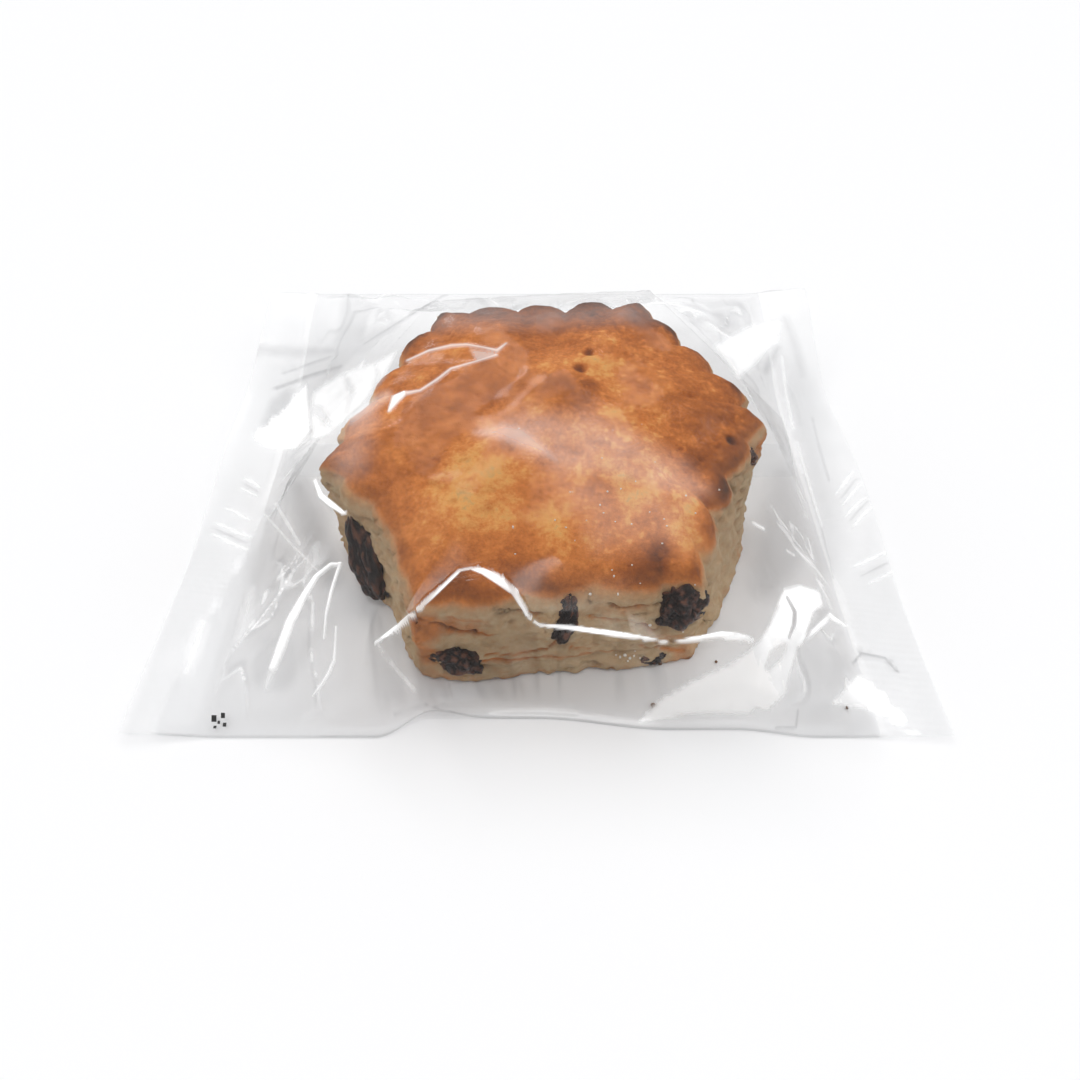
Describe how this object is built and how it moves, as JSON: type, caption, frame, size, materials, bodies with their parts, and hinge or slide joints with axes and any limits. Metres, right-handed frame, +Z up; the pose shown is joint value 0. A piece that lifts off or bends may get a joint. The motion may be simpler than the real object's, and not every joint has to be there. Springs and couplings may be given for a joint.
{
  "type": "sultana scone in a film bag",
  "caption": "Six-sided fluted sultana scone with a domed brown top, heat-sealed in a clear flow-wrap film bag with crimped ends.",
  "frame": {"origin": "middle of the bag's footprint, on the table", "axes": "+X runs along the bag from one crimped end to the other, +Z is up, and -Y is the front that the picture looks at"},
  "size_m": [0.124, 0.111, 0.0298],
  "materials": {
    "film": "clear glossy film",
    "crust": "baked golden-brown crust over a paler crumb",
    "sultana": "dark, wrinkled and slightly glossy"
  },
  "bodies": {
    "root": {"bag": "film", "scone": "crust", "sultana_left": "sultana", "sultana_front_left": "sultana", "sultana_front_middle": "sultana", "sultana_front_right": "sultana", "sultana_foot_right": "sultana", "sultana_right": "sultana", "sultana_back_right": "sultana", "sultana_back": "sultana", "sultana_back_left": "sultana", "sultana_top_right": "sultana"}
  },
  "joints": []
}
